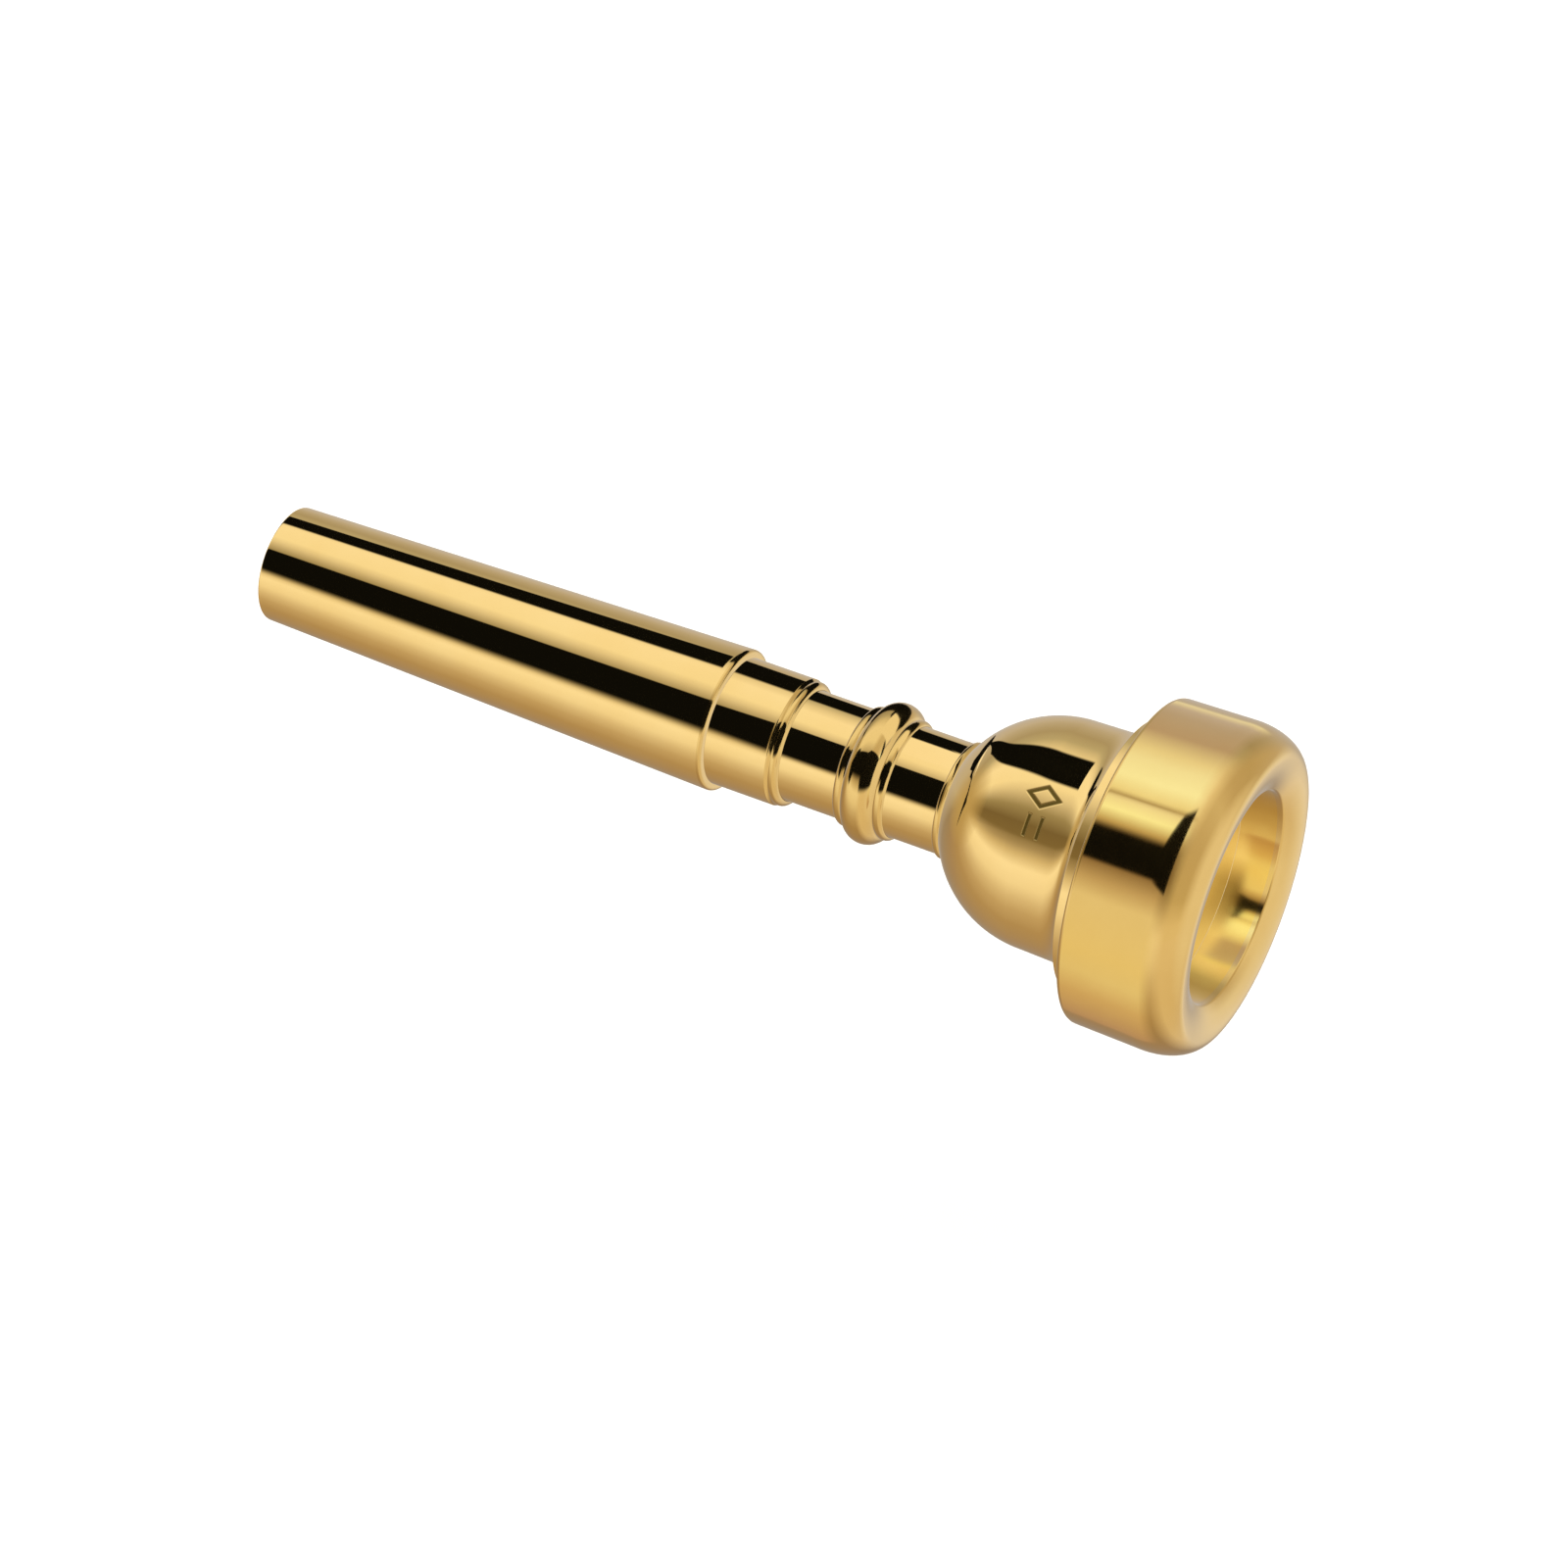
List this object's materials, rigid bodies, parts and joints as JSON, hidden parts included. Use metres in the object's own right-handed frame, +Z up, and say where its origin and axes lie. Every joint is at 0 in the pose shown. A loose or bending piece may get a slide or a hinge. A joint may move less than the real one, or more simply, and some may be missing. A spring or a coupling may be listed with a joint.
{
  "type": "trumpet mouthpiece",
  "caption": "Take-apart trumpet mouthpiece: screw rim, cup, beaded stem and tapered shank sleeve, with the bore open from the bowl to the shank tip.",
  "frame": {"origin": "centre of the shank's end face, where the airway leaves the mouthpiece", "axes": "+X along the bore axis from the shank tip to the rim, +Z up, as the mouthpiece is held in an instrument"},
  "size_m": [0.0876, 0.0273, 0.0272],
  "materials": {
    "polished_gold_plate": "gold plate polished to a mirror on turned brass",
    "satin_gold_plate": "gold plate over finely brushed brass, softer than the polished pieces",
    "nitrile_rubber": "matte black moulded rubber"
  },
  "bodies": {
    "shank_sleeve": {"shank_sleeve": "polished_gold_plate"},
    "stem": {"stem": "polished_gold_plate"},
    "stem_seal": {"stem_seal": "nitrile_rubber"},
    "cup": {"cup": "polished_gold_plate"},
    "rim_seal": {"rim_seal": "nitrile_rubber"},
    "rim": {"rim": "satin_gold_plate"}
  },
  "joints": [
    {"name": "stem_pull", "type": "slide", "parent": "shank_sleeve", "child": "stem", "axis": [1, 0, 0], "range_m": [0, 0.0243]},
    {"name": "cup_turn", "type": "hinge", "parent": "stem", "child": "stem_seal", "pos_m": [0.064, 0, 0], "axis": [1, 0, 0], "range_deg": [0, 1350]},
    {"name": "cup_travel", "type": "slide", "parent": "stem_seal", "child": "cup", "axis": [1, 0, 0], "range_m": [0, 0.0038]},
    {"name": "rim_turn", "type": "hinge", "parent": "cup", "child": "rim_seal", "pos_m": [0.082, 0, 0], "axis": [1, 0, 0], "range_deg": [0, 1350]},
    {"name": "rim_travel", "type": "slide", "parent": "rim_seal", "child": "rim", "axis": [1, 0, 0], "range_m": [0, 0.0038]}
  ],
  "couplings": [
    {"joint": "cup_travel", "follows": "cup_turn", "m_per_rad": 0.00015915},
    {"joint": "rim_travel", "follows": "rim_turn", "m_per_rad": 0.00015915}
  ]
}
